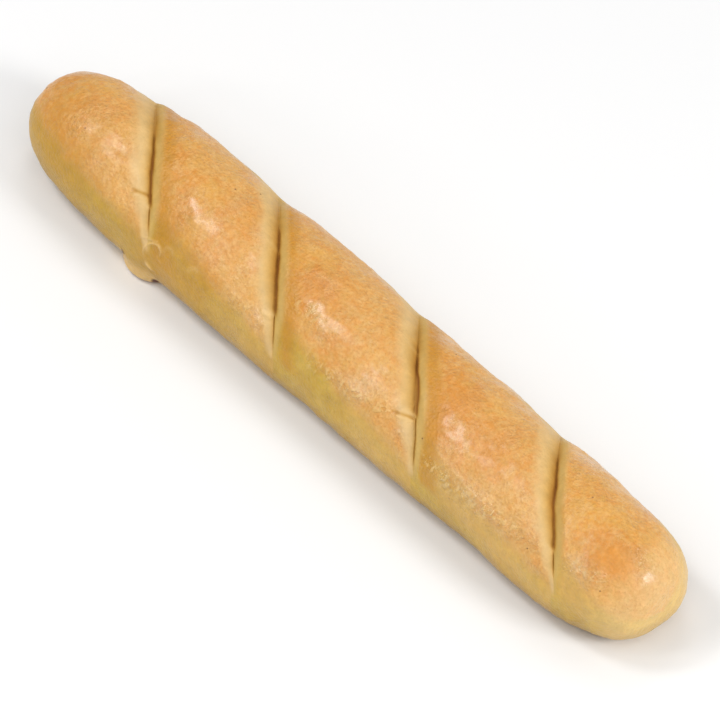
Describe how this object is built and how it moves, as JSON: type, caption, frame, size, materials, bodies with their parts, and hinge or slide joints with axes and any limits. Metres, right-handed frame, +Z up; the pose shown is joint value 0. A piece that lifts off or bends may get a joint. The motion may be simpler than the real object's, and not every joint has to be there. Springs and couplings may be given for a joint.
{
  "type": "baguette",
  "caption": "Short, soft-crusted baguette: a straight round-ended loaf with slanting slashes across its crown and a flat underside that it rests on.",
  "frame": {"origin": "middle of the flat underside, on the surface that the loaf rests on", "axes": "+X along the loaf towards its blunt end, +Y across it, +Z up from the underside to the slashed crown"},
  "size_m": [0.37, 0.0614, 0.0481],
  "materials": {
    "crust": "golden baked crust, lightly glazed, satin"
  },
  "bodies": {
    "root": {"loaf": "crust"}
  },
  "joints": []
}
